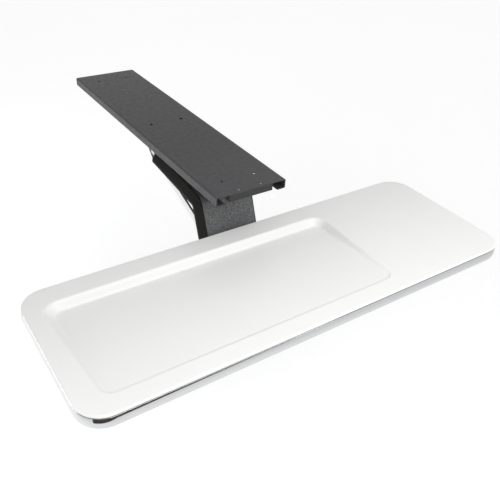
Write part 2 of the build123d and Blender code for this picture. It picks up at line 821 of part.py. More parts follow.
with BuildPart() as threaded_inserts:
    with BuildSketch(Plane.XY.offset(base_top)):
        with Locations(*bracket_screw_points):
            Circle(insert_radius)
            Circle(bracket_screw_radius, mode=Mode.SUBTRACT)
    extrude(amount=insert_length)
threaded_inserts.part.label = "threaded_inserts"
export_step(threaded_inserts.part, "parts/threaded_inserts.step")

# ---------------------------------------------------------------- tray
base_screw_radius = 2.0
base_screw_offsets = [
    (-327.0, tray_back - 25.0),
    (-190.0, tray_back - 17.0),
    (190.0, tray_back - 17.0),
    (327.0, tray_back - 25.0),
    (-336.0, tray_mid),
    (336.0, tray_mid),
    (-325.0, tray_front + 19.0),
    (0.0, tray_front + 14.0),
    (325.0, tray_front + 19.0),
]
base_screw_points = [(tray_x + offset, row) for offset, row in base_screw_offsets]
wall_inset = 1.0 + band_thickness
wall_sheet = 2.5


def bay_block(grow, headroom):
    """Wedge-shaped keyboard bay with drafted walls, grown on every side by the given amount."""
    roof = tray_top_height + headroom
    floor_back = tray_top_height - bay_depth_back - grow
    floor_front = tray_top_height - bay_depth_front - grow
    left_rate = bay_slope_left / bay_depth_back
    right_rate = bay_slope_right / bay_depth_back
    back_rate = bay_slope_back / bay_depth_back
    front_y = tray_front + bay_front - grow
    back_y = tray_front + bay_back + grow
    left_x = tray_x + bay_left - grow
    right_x = tray_x + bay_right + grow
    floor_line = Vector(0, back_y - front_y, floor_back - floor_front)
    floor_plane = Plane(
        origin=(0, front_y, floor_front),
        x_dir=(1, 0, 0),
        z_dir=Vector(1, 0, 0).cross(floor_line),
    )
    with BuildPart() as block:
        with BuildSketch(floor_plane):
            with Locations(((left_x + right_x) / 2, floor_line.length / 2)):
                RectangleRounded(right_x - left_x, floor_line.length, bay_corner + grow)
        with BuildSketch(Plane.XY.offset(roof)) as rim:
            with BuildLine():
                rise_back = roof - floor_back
                rise_front = roof - floor_front
                Polyline(
                    (left_x - left_rate * rise_front, front_y - 1.0),
                    (right_x + right_rate * rise_front, front_y - 1.0),
                    (right_x + right_rate * rise_back, back_y + back_rate * rise_back),
                    (left_x - left_rate * rise_back, back_y + back_rate * rise_back),
                    close=True,
                )
            make_face()
            fillet(rim.vertices(), radius=bay_corner + grow + 2.0)
        loft(ruled=True)
    return block.part


bay_void = bay_block(0.0, 1.0)
bay_pan = bay_block(pan_wall, 0.0)

with BuildPart() as tray_top:
    with BuildSketch(Plane.XY.offset(rim_bottom)):
        tray_outline(rim_inset)
    extrude(amount=top_wall)
    fillet(tray_top.faces().sort_by(Axis.Z)[-1].edges(), radius=2.0)
    with BuildSketch(Plane.XY.offset(base_top)):
        tray_outline(wall_inset)
        tray_outline_inner = wall_inset + wall_sheet
        with Locations((tray_x, tray_mid)):
            RectangleRounded(
                tray_width - 2 * tray_outline_inner,
                tray_depth - 2 * tray_outline_inner,
                tray_corner - tray_outline_inner,
                mode=Mode.SUBTRACT,
            )
        with Locations(*base_screw_points):
            Circle(4.5)
    extrude(amount=rim_bottom - base_top)
    with BuildSketch(Plane.XY.offset(base_top)):
        with Locations(*bracket_screw_points):
            Circle(boss_radius)
    extrude(amount=9.5)
    with BuildSketch(Plane.XY.offset(base_top)):
        with Locations(*bracket_screw_points[:2]):
            Circle(boss_radius)
    extrude(amount=rim_bottom - base_top)
    add(bay_pan)
    add(bay_void, mode=Mode.SUBTRACT)
    with BuildSketch(Plane.XY.offset(base_top)):
        with Locations(*bracket_screw_points):
            Circle(insert_radius)
    extrude(amount=insert_length, mode=Mode.SUBTRACT)
    with BuildSketch(Plane.XY.offset(base_top)):
        with Locations(*base_screw_points):
            Circle(base_screw_radius)
    extrude(amount=8.0, mode=Mode.SUBTRACT)
tray_top.part.label = "tray_top"
export_step(tray_top.part, "parts/tray_top.step")

with BuildPart() as tray_base:
    with BuildSketch(Plane.XY.offset(tray_bottom)):
        tray_outline(wall_inset + 0.2)
        with Locations(*base_screw_points):
            Circle(base_screw_radius + 0.1, mode=Mode.SUBTRACT)
        with Locations(*bracket_screw_points):
            Circle(bracket_screw_radius + 0.25, mode=Mode.SUBTRACT)
    extrude(amount=base_thickness)
tray_base.part.label = "tray_base"
export_step(tray_base.part, "parts/tray_base.step")

base_screw_head = 1.8
with BuildPart() as base_screws:
    with BuildSketch(Plane.XY.offset(tray_bottom - base_screw_head)):
        with Locations(*base_screw_points):
            Circle(3.8)
    extrude(amount=base_screw_head)
    with BuildSketch(Plane.XY.offset(tray_bottom)):
        with Locations(*base_screw_points):
            Circle(base_screw_radius)
    extrude(amount=base_thickness + 7.5)
    with BuildSketch(Plane.XY.offset(tray_bottom - base_screw_head)):
        with Locations(*base_screw_points):
            RegularPolygon(radius=1.6, side_count=6)
    extrude(amount=1.0, mode=Mode.SUBTRACT)
base_screws.part.label = "base_screws"
export_step(base_screws.part, "parts/base_screws.step")

gasket_inset = 2.0
with BuildPart() as edge_gasket:
    with BuildSketch(Plane.XY.offset(gasket_bottom)):
        tray_outline(gasket_inset)
        with Locations((tray_x, tray_mid)):
            RectangleRounded(
                tray_width - 2 * wall_inset,
                tray_depth - 2 * wall_inset,
                tray_corner - wall_inset,
                mode=Mode.SUBTRACT,
            )
    extrude(amount=gasket_height)
edge_gasket.part.label = "edge_gasket"
export_step(edge_gasket.part, "parts/edge_gasket.step")

band_height = gasket_bottom - tray_bottom
band_plane = Plane(origin=(tray_x, tray_back, tray_bottom), x_dir=(0, 1, 0), z_dir=(1, 0, 0))
with BuildPart() as edge_band:
    with BuildLine(Plane.XY.offset(tray_bottom)) as band_route:
        FilletPolyline(
            (tray_x, tray_back),
            (tray_x + tray_width / 2, tray_back),
            (tray_x + tray_width / 2, tray_mid),
            radius=tray_corner,
        )
    with BuildSketch(band_plane):
        with BuildLine():
            Polyline(
                (-band_bulge, band_height),
                (-wall_inset, band_height),
                (-wall_inset, 0.6),
                (0.6 - wall_inset, 0),
                (-2.2, 0),
            )
            ThreePointArc((-2.2, 0), (-0.75, 2.0), (-0.2, 4.6))
            ThreePointArc((-0.2, 4.6), (0.0, 7.5), (-band_bulge, band_height))
        make_face()
    sweep(path=band_route.wire())
    mirror(about=Plane.YZ.offset(tray_x))
    mirror(about=Plane.XZ.offset(-tray_mid))
edge_band.part.label = "edge_band"
export_step(edge_band.part, "parts/edge_band.step")
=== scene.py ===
import json
import math

import bmesh
import bpy
import numpy as np
from mathutils import Matrix, Vector


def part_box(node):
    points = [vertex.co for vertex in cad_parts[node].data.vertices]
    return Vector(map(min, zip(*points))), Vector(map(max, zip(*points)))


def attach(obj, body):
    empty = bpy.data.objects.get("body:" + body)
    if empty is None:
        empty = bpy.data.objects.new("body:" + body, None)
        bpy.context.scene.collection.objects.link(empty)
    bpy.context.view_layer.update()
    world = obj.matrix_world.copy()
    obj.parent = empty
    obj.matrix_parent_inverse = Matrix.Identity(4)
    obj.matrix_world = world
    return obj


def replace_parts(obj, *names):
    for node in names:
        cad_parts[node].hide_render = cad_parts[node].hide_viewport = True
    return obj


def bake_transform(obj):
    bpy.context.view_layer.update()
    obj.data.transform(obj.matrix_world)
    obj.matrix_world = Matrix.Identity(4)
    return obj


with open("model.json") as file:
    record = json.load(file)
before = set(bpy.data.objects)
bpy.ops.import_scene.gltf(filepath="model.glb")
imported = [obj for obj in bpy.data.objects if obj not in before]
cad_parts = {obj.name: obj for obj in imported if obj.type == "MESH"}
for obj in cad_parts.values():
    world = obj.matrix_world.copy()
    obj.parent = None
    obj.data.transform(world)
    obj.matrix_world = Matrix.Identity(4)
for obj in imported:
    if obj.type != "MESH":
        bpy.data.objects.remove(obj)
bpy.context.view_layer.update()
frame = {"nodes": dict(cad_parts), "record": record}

# Looks of a keyboard tray on an articulating arm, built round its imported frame. Everything is in
# metres in the CAD's frame: +X right of the user, +Y away from them, +Z up, and the origin in the
# middle of the track's desk-side face.

nodes = frame["nodes"]
MM = 0.001

# ---------------------------------------------------------------- sizes read from the frame
band_low, band_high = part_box("edge_band")
rim_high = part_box("tray_top")[1]
gasket_low, gasket_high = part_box("edge_gasket")
tray_centre = (band_low + band_high) / 2
tray_half = (band_high - band_low) / 2
tray_front = band_low.y
tray_corner = 38 * MM
rim_inset = band_high.x - rim_high.x
top_z = rim_high.z
rim_z = gasket_high.z      # underside of the rim, on top of the seal
gasket_z = gasket_low.z    # underside of the seal, on top of the band
base_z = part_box("tray_base")[1].z


# ---------------------------------------------------------------- mesh helpers
def add_mesh(name, points, faces, materials, sharp_angle=40, face_slots=None):
    """New object from points and faces, smooth except over edges sharper than the angle."""
    mesh = bpy.data.meshes.new(name)
    mesh.from_pydata([tuple(point) for point in points], [], faces)
    for material in materials:
        mesh.materials.append(material)
    if face_slots is not None:
        mesh.polygons.foreach_set("material_index", face_slots)
    mesh.validate()
    solid = bmesh.new()
    solid.from_mesh(mesh)
    bmesh.ops.recalc_face_normals(solid, faces=solid.faces)
    solid.to_mesh(mesh)
    solid.free()
    mesh.shade_smooth()
    mesh.set_sharp_from_angle(angle=math.radians(sharp_angle))
    piece = bpy.data.objects.new(name, mesh)
    bpy.context.scene.collection.objects.link(piece)
    return piece


def joined_rings(rings, count, closed=True, start=0):
    """Quads between neighbouring rings of the same number of points; closed joins last to first."""
    faces = []
    for ring in range(rings if closed else rings - 1):
        low = start + ring * count
        high = start + ((ring + 1) % rings) * count
        for i in range(count):
            j = (i + 1) % count
            faces.append((low + i, low + j, high + j, high + i))
    return faces


def arc_points(centre, radius, start, end, steps):
    """Points on an arc in a section's plane, from the start angle to the end angle in degrees."""
    angles = np.radians(np.linspace(start, end, steps + 1))
    return [(centre[0] + radius * math.cos(a), centre[1] + radius * math.sin(a)) for a in angles]


def rounded_corners(corners, steps=6, closed=True):
    """Points of a path in a section's plane, from (u, v, radius) corners."""
    points = []
    last = len(corners) - 1
    for i, (u, v, radius) in enumerate(corners):
        corner = Vector((u, v))
        if radius == 0 or (not closed and i in (0, last)):
            points.append((u, v))
            continue
        before = (Vector(corners[i - 1][:2]) - corner).normalized()
        after = (Vector(corners[(i + 1) % len(corners)][:2]) - corner).normalized()
        half_angle = before.angle(after) / 2
        middle = corner + (before + after).normalized() * (radius / math.sin(half_angle))
        arm = before * (radius / math.tan(half_angle)) + corner - middle
        sweep = math.copysign(math.pi - 2 * half_angle, -before.cross(after))
        for step in range(steps + 1):
            spoke = Matrix.Rotation(sweep * step / steps, 2) @ arm
            points.append(tuple(middle + spoke))
    return points


def rounded_ring(inset, height, corner_steps):
    """Points round the tray's rounded outline, inside it by the inset."""
    radius = tray_corner - inset
    middle_x = tray_half.x - inset - radius
    middle_y = tray_half.y - inset - radius
    ring = []
    for quarter, (sign_x, sign_y) in enumerate(((1, 1), (-1, 1), (-1, -1), (1, -1))):
        for step in range(corner_steps + 1):
            angle = math.radians(90 * (quarter + step / corner_steps))
            x = tray_centre.x + sign_x * middle_x + radius * math.cos(angle)
            y = tray_centre.y + sign_y * middle_y + radius * math.sin(angle)
            ring.append((x, y, height))
    return ring


def outline_sweep(name, profile, material, corner_steps=32):
    """Closed band round the tray from a closed profile of (inset, height) points."""
    points = []
    for inset, height in profile:
        points += rounded_ring(inset, height, corner_steps)
    faces = joined_rings(len(profile), 4 * (corner_steps + 1))
    return add_mesh(name, points, faces, [material])


# ---------------------------------------------------------------- material helpers
class Finish:
    """A node material being put together: one principled shader and what feeds its sockets."""

    def __init__(self, name, color, roughness, metallic=0.0, **sockets):
        self.material = bpy.data.materials.new(name)
        self.material.use_nodes = True
        self.tree = self.material.node_tree
        self.tree.nodes.clear()
        self.shader = self.tree.nodes.new("ShaderNodeBsdfPrincipled")
        output = self.tree.nodes.new("ShaderNodeOutputMaterial")
        self.tree.links.new(self.shader.outputs["BSDF"], output.inputs["Surface"])
        self.shader.inputs["Base Color"].default_value = (*color, 1.0)
        self.shader.inputs["Roughness"].default_value = roughness
        self.shader.inputs["Metallic"].default_value = metallic
        for socket, value in sockets.items():
            self.shader.inputs[socket.replace("_", " ")].default_value = value

    def node(self, kind, **inputs):
        """New node; inputs are values or other nodes' outputs, by socket name."""
        made = self.tree.nodes.new(kind)
        for socket, value in inputs.items():
            target = made.inputs[socket.replace("_", " ")]
            if isinstance(value, bpy.types.NodeSocket):
                self.tree.links.new(value, target)
            else:
                target.default_value = value
        return made

    def place(self, stretch=(1.0, 1.0, 1.0)):
        """Object coordinates, with features drawn out along an axis where its stretch is above 1."""
        where = self.tree.nodes.new("ShaderNodeTexCoord")
        scale = [1.0 / s for s in stretch]
        mapping = self.node("ShaderNodeMapping", Vector=where.outputs["Object"], Scale=scale)
        return mapping.outputs["Vector"]

    def noise(self, size, detail=3.0, rough=0.55, stretch=(1.0, 1.0, 1.0)):
        """Soft noise, 0 to 1, with features about as large as the size in metres."""
        where = self.place(stretch)
        made = self.node("ShaderNodeTexNoise", Vector=where, Scale=1 / size, Detail=detail)
        made.inputs["Roughness"].default_value = rough
        return made.outputs["Fac"]

    def cells(self, size):
        """Distance to the middle of the nearest Voronoi cell; cells are about as large as the size."""
        made = self.node("ShaderNodeTexVoronoi", Vector=self.place(), Scale=1 / size)
        return made.outputs["Distance"]

    def spread(self, value, low, high, to_low=0.0, to_high=1.0):
        """The value's range from low to high, stretched to another range and held there."""
        made = self.node("ShaderNodeMapRange", Value=value)
        made.inputs["From Min"].default_value = low
        made.inputs["From Max"].default_value = high
        made.inputs["To Min"].default_value = to_low
        made.inputs["To Max"].default_value = to_high
        return made.outputs["Result"]

    def blend(self, factor, first, second):
        """Colour between the first and second, each a colour or an output."""
        made = self.tree.nodes.new("ShaderNodeMix")
        made.data_type = "RGBA"
        self.tree.links.new(factor, made.inputs["Factor"])
        # The mix node has sockets A, B and Result once for each data type; these are the colour ones.
        for socket, value in ((made.inputs[6], first), (made.inputs[7], second)):
            if isinstance(value, bpy.types.NodeSocket):
                self.tree.links.new(value, socket)
            else:
                socket.default_value = (*value, 1.0)
        return made.outputs[2]

    def feed(self, socket, output):
        """Joins an output to one of the shader's sockets."""
        self.tree.links.new(output, self.shader.inputs[socket])

    def relief(self, height, depth, strength=1.0):
        """Bump of the given depth in metres; several calls lie over each other."""
        made = self.node("ShaderNodeBump", Height=height, Distance=depth, Strength=strength)
        below = self.shader.inputs["Normal"]
        if below.is_linked:
            self.tree.links.new(below.links[0].from_socket, made.inputs["Normal"])
        self.tree.links.new(made.outputs["Normal"], below)


def moulded_white():
    """Satin white moulding: faint spark-eroded grain, slow tone change and rubbed patches."""
    finish = Finish("moulded_white", (0.82, 0.82, 0.812), 0.36, IOR=1.5)
    tone = finish.noise(140 * MM, 2.0)
    finish.feed("Base Color", finish.blend(tone, (0.805, 0.805, 0.797), (0.835, 0.834, 0.828)))
    rubbed = finish.spread(finish.noise(35 * MM, 4.0), 0.45, 0.75, 0.33, 0.43)
    finish.feed("Roughness", rubbed)
    finish.relief(finish.noise(0.55 * MM, 2.0), 0.018 * MM)
    return finish.material


def bright_band():
    """Polished bright metal with long, very fine drawing lines and faint smudges."""
    finish = Finish("bright_band", (0.58, 0.585, 0.59), 0.07, 1.0)
    smudge = finish.noise(18 * MM, 5.0, 0.65)
    finish.feed("Roughness", finish.spread(smudge, 0.4, 0.75, 0.055, 0.14))
    finish.feed("Base Color", finish.blend(smudge, (0.61, 0.615, 0.62), (0.54, 0.545, 0.55)))
    finish.relief(finish.noise(0.35 * MM, 2.0, stretch=(60.0, 60.0, 1.0)), 0.004 * MM)
    return finish.material


def seal_rubber():
    """Dark grey seal with a dusty skin."""
    finish = Finish("seal_rubber", (0.05, 0.05, 0.055), 0.7)
    dust = finish.noise(4 * MM, 4.0)
    finish.feed("Base Color", finish.blend(dust, (0.035, 0.035, 0.04), (0.075, 0.075, 0.08)))
    finish.relief(finish.noise(0.4 * MM, 2.0), 0.02 * MM)
    return finish.material


def matt_white():
    """Plain matt white moulding with a coarser grain, for the base under the tray."""
    finish = Finish("matt_white", (0.8, 0.8, 0.79), 0.55)
    tone = finish.noise(90 * MM, 3.0)
    finish.feed("Base Color", finish.blend(tone, (0.78, 0.78, 0.77), (0.82, 0.82, 0.81)))
    finish.feed("Roughness", finish.spread(finish.noise(12 * MM, 3.0), 0.3, 0.7, 0.5, 0.62))
    finish.relief(finish.cells(0.8 * MM), 0.03 * MM, 0.7)
    return finish.material


def grained_charcoal():
    """Fine-grained charcoal moulding: small pebbles, each a slightly different grey."""
    finish = Finish("grained_charcoal", (0.07, 0.072, 0.075), 0.5)
    pebbles = finish.cells(1.8 * MM)
    speck = finish.noise(2.2 * MM, 4.0, 0.75)
    grey = finish.blend(finish.spread(speck, 0.38, 0.64), (0.045, 0.047, 0.049), (0.175, 0.178, 0.18))
    finish.feed("Base Color", grey)
    finish.feed("Roughness", finish.spread(speck, 0.3, 0.7, 0.62, 0.42))
    finish.relief(pebbles, 0.12 * MM, 0.8)
    finish.relief(speck, 0.05 * MM, 0.6)
    return finish.material


def charcoal_with_painted_shade():
    """Smooth near-black sides of the cover, slightly warm, with fine scuffs; near-black partly as the
    sides' own finish and partly as painted shade, so the sloping sides read as in shadow.
    """
    # These near-black colours hold painted shade on the cover's sides as well as the smooth finish's
    # own darkness.
    finish = Finish("charcoal_with_painted_shade", (0.012, 0.011, 0.010), 0.6, Specular_IOR_Level=0.12)
    tone = finish.noise(20 * MM, 3.0)
    finish.feed("Base Color", finish.blend(tone, (0.009, 0.0085, 0.008), (0.016, 0.0145, 0.013)))
    scuffs = finish.noise(1.2 * MM, 4.0, 0.6, stretch=(1.0, 9.0, 9.0))
    finish.feed("Roughness", finish.spread(scuffs, 0.4, 0.8, 0.54, 0.68))
    finish.relief(finish.noise(0.5 * MM, 2.0), 0.01 * MM)
    return finish.material


def powder_coat(name, color, roughness, peel):
    """Black powder coat with its orange peel and a slow change of tone."""
    lift = 1.35
    finish = Finish(name, color, roughness)
    tone = finish.noise(60 * MM, 3.0)
    light = tuple(min(1.0, channel * lift) for channel in color)
    finish.feed("Base Color", finish.blend(tone, color, light))
    wear = finish.noise(9 * MM, 4.0)
    finish.feed("Roughness", finish.spread(wear, 0.3, 0.75, roughness - 0.06, roughness + 0.1))
    finish.relief(finish.noise(peel, 2.0, 0.5), 0.05 * MM, 0.8)
    return finish.material


def zinc_plate():
    """Bright zinc on turned and pressed steel: blue and straw tints and fine tool lines."""
    finish = Finish("zinc_plate", (0.72, 0.73, 0.75), 0.3, 1.0)
    tint = finish.noise(7 * MM, 3.0)
    finish.feed("Base Color", finish.blend(tint, (0.66, 0.69, 0.74), (0.78, 0.76, 0.71)))
    lines = finish.noise(0.5 * MM, 3.0, 0.6, stretch=(1.0, 12.0, 12.0))
    finish.feed("Roughness", finish.spread(lines, 0.3, 0.7, 0.24, 0.4))
    finish.relief(lines, 0.01 * MM, 0.6)
    return finish.material


def spring_steel():
    """Oiled spring wire: dark, with draw marks and straw-coloured patches."""
    finish = Finish("spring_steel", (0.3, 0.3, 0.31), 0.32, 1.0)
    patches = finish.spread(finish.noise(5 * MM, 4.0), 0.45, 0.7)
    finish.feed("Base Color", finish.blend(patches, (0.24, 0.245, 0.26), (0.40, 0.36, 0.30)))
    finish.feed("Roughness", finish.spread(finish.noise(1.5 * MM, 4.0), 0.3, 0.7, 0.25, 0.45))
    finish.relief(finish.noise(0.3 * MM, 2.0), 0.01 * MM, 0.6)
    return finish.material


def natural_nylon():
    """Off-white nylon, slightly translucent, with flow marks."""
    finish = Finish("natural_nylon", (0.82, 0.81, 0.77), 0.42, Subsurface_Weight=0.15)
    finish.shader.inputs["Subsurface Scale"].default_value = 2 * MM
    flow = finish.noise(12 * MM, 3.0, 0.6, stretch=(2.5, 1.0, 1.0))
    finish.feed("Base Color", finish.blend(flow, (0.79, 0.78, 0.73), (0.85, 0.84, 0.81)))
    finish.relief(finish.noise(0.7 * MM, 2.0), 0.015 * MM)
    return finish.material


def stop_rubber():
    """Matt black rubber of the end stops."""
    finish = Finish("stop_rubber", (0.028, 0.028, 0.028), 0.82)
    bloom = finish.noise(6 * MM, 5.0, 0.6)
    finish.feed("Base Color", finish.blend(bloom, (0.02, 0.02, 0.02), (0.05, 0.05, 0.05)))
    finish.relief(finish.noise(0.6 * MM, 3.0), 0.04 * MM, 0.8)
    return finish.material


def black_oxide():
    """Blackened steel of the small cap screws."""
    finish = Finish("black_oxide", (0.02, 0.02, 0.022), 0.38, 0.6)
    finish.feed("Roughness", finish.spread(finish.noise(1.5 * MM, 3.0), 0.3, 0.7, 0.3, 0.5))
    finish.relief(finish.noise(0.3 * MM, 2.0), 0.01 * MM)
    return finish.material


def friction_fibre():
    """Pressed friction material: brown, with pale fibres and brass specks."""
    finish = Finish("friction_fibre", (0.16, 0.13, 0.10), 0.8)
    fibres = finish.spread(finish.noise(0.6 * MM, 4.0, 0.7, stretch=(1.0, 4.0, 1.0)), 0.5, 0.7)
    finish.feed("Base Color", finish.blend(fibres, (0.12, 0.095, 0.07), (0.34, 0.29, 0.22)))
    finish.relief(fibres, 0.04 * MM)
    return finish.material


def knob_plastic():
    """Matt black moulding of the knob, finely textured, with rubbed shiny patches."""
    finish = Finish("knob_plastic", (0.03, 0.03, 0.032), 0.5)
    rub = finish.noise(6 * MM, 4.0)
    finish.feed("Roughness", finish.spread(rub, 0.35, 0.7, 0.58, 0.38))
    finish.feed("Base Color", finish.blend(rub, (0.026, 0.026, 0.028), (0.042, 0.042, 0.044)))
    finish.relief(finish.noise(0.45 * MM, 2.0), 0.03 * MM, 0.8)
    return finish.material


def turned_brass():
    """Turned brass of the inserts, with tarnish."""
    finish = Finish("turned_brass", (0.78, 0.6, 0.3), 0.3, 1.0)
    tarnish = finish.spread(finish.noise(3 * MM, 4.0), 0.4, 0.75)
    finish.feed("Base Color", finish.blend(tarnish, (0.80, 0.62, 0.31), (0.55, 0.41, 0.22)))
    finish.feed("Roughness", finish.spread(finish.noise(1 * MM, 3.0), 0.3, 0.7, 0.24, 0.42))
    finish.relief(finish.noise(0.3 * MM, 2.0, stretch=(1.0, 1.0, 0.3)), 0.02 * MM)
    return finish.material


def studio_floor():
    """Pale, even studio floor."""
    finish = Finish("studio_floor", (0.93, 0.93, 0.93), 0.9, Specular_IOR_Level=0.2)
    tone = finish.noise(0.9, 2.0)
    finish.feed("Base Color", finish.blend(tone, (0.935, 0.937, 0.94), (0.955, 0.955, 0.955)))
    finish.shader.inputs["Emission Color"].default_value = (1.0, 1.0, 1.0, 1.0)
    finish.shader.inputs["Emission Strength"].default_value = 0.22
    return finish.material


finishes = {
    "track_steel": powder_coat("track_powder_coat", (0.034, 0.034, 0.037), 0.42, 1.1 * MM),
    "bracket_steel": powder_coat("bracket_powder_coat", (0.040, 0.040, 0.043), 0.48, 0.9 * MM),
    "stop_rubber": stop_rubber(),
    "zinc_steel": zinc_plate(),
    "nylon": natural_nylon(),
    "spring_steel": spring_steel(),
    "cover_plastic": grained_charcoal(),
    "black_screws": black_oxide(),
    "friction_fibre": friction_fibre(),
    "knob_plastic": knob_plastic(),
    "insert_brass": turned_brass(),
    "tray_white": moulded_white(),
    "base_plastic": matt_white(),
    "gasket_rubber": seal_rubber(),
    "edge_chrome": bright_band(),
}
# Material for the cover's sides, wings and end fins: its own smooth dark finish, with painted shade in
# its colour.
cover_border_painted_shade = charcoal_with_painted_shade()

for subpart in frame["record"]["subparts"]:
    mesh = nodes[subpart["node"]].data
    mesh.materials.clear()
    mesh.materials.append(finishes[subpart["material_slot"]])

# ---------------------------------------------------------------- tray top
# The keyboard bay: its floor is a rounded rectangle that falls towards the back, and its walls are
# soft S-curves whose run grows with the depth and differs from side to side.
bay_left = tray_centre.x - 312 * MM
bay_right = tray_centre.x + 130 * MM
bay_front = tray_front + 32 * MM
bay_back = tray_front + 205 * MM
bay_corner = 14 * MM
bay_depth_front = 1.5 * MM
bay_depth_back = 13 * MM
bay_run_left = 15 * MM
bay_run_right = 6 * MM
bay_run_back = 6.5 * MM
bay_run_front = 5 * MM
bay_least_run = 4 * MM
no_length = 1e-9    # keeps a division away from zero


def bay_depth(x, y):
    """Depth of the keyboard bay below the tray's top at each point."""
    half_x = (bay_right - bay_left) / 2
    half_y = (bay_back - bay_front) / 2
    over_x = x - (bay_left + bay_right) / 2
    over_y = y - (bay_front + bay_back) / 2
    out_x = np.maximum(np.abs(over_x) - half_x + bay_corner, 0)
    out_y = np.maximum(np.abs(over_y) - half_y + bay_corner, 0)
    away = np.hypot(out_x, out_y)
    outside = np.maximum(away - bay_corner, 0)
    share_x = out_x / np.maximum(away, no_length)
    share_y = out_y / np.maximum(away, no_length)
    run_x = np.where(over_x < 0, bay_run_left, bay_run_right)
    run_y = np.where(over_y < 0, bay_run_front, bay_run_back)
    fall = np.clip((y - bay_front) / (bay_back - bay_front), 0, 1)
    floor_depth = bay_depth_front + (bay_depth_back - bay_depth_front) * fall
    full_run = np.hypot(run_x * share_x, run_y * share_y)
    run = bay_least_run + full_run * floor_depth / bay_depth_back
    climb = np.clip(outside / run, 0, 1)
    return floor_depth * (1 - climb * climb * (3 - 2 * climb))


def spaced(stops):
    """Rising values: a first value, then (end, step) pairs with about that step up to each end."""
    values = [stops[0]]
    for end, step in stops[1:]:
        start = values[-1]
        count = max(1, round((end - start) / step))
        values += list(np.linspace(start, end, count + 1)[1:])
    return np.array(values)


# The skirt hangs from the rim behind the band, down to the base. Insets count from the band's outside.
skirt_inner = 5.7 * MM
skirt_outer = 3.2 * MM
skirt_bevel = 0.3 * MM
edge_roll = 2.5 * MM
rim_lip = 0.5 * MM
rim_bevel = 0.15 * MM
top_wall = 3.5 * MM
pan_wall = 2.5 * MM


def top_rows(low_y, high_y, radius):
    """Y of the top's rows of points: close together at the corners and the bay's front and back."""
    turns = np.radians(np.linspace(0, 90, 31))
    coarse_step, medium_step, fine_step = 6 * MM, 2 * MM, 1.2 * MM
    least_gap = 0.25 * MM
    front_rows = low_y + radius * (1 - np.cos(turns))
    back_rows = high_y - radius * (1 - np.cos(turns))
    inner_rows = spaced([
        low_y + radius,
        (bay_front + 12 * MM, medium_step),
        (bay_back - 10 * MM, coarse_step),
        (high_y - radius, fine_step),
    ])
    front_wall = np.arange(bay_front - 8 * MM, bay_front + 8 * MM, 1.0 * MM)
    back_wall = np.arange(bay_back - 3 * MM, bay_back + 13 * MM, 0.9 * MM)
    rows = np.sort(np.concatenate([front_rows, inner_rows, back_rows, front_wall, back_wall]))
    rows = rows[np.concatenate([[True], np.diff(rows) > least_gap])]
    rows[0], rows[-1] = low_y, high_y
    return rows


def top_columns(half_x):
    """X of the top's columns from the tray's middle: close together at the bay's two sides."""
    coarse_step, medium_step, left_step, right_step = 8 * MM, 4 * MM, 1.3 * MM, 1.0 * MM
    left_wall = bay_left - tray_centre.x
    right_wall = bay_right - tray_centre.x
    return spaced([
        -half_x,
        (left_wall - 24 * MM, medium_step),
        (left_wall + 8 * MM, left_step),
        (right_wall - 6 * MM, coarse_step),
        (right_wall + 14 * MM, right_step),
        (half_x, coarse_step),
    ])


def ways_out(edge, straight_x, straight_y):
    """Unit directions away from the tray, in plan, at points of the top's edge."""
    touch = 1e-7
    from_x = edge[:, 0] - tray_centre.x
    from_y = edge[:, 1] - tray_centre.y
    middle_x = tray_centre.x + np.sign(from_x) * straight_x
    middle_y = tray_centre.y + np.sign(from_y) * straight_y
    out = np.stack([
        np.where(np.abs(from_x) > straight_x + touch, edge[:, 0] - middle_x, 0),
        np.where(np.abs(from_y) > straight_y + touch, edge[:, 1] - middle_y, 0),
    ], axis=-1)
    return out / np.linalg.norm(out, axis=1)[:, None]


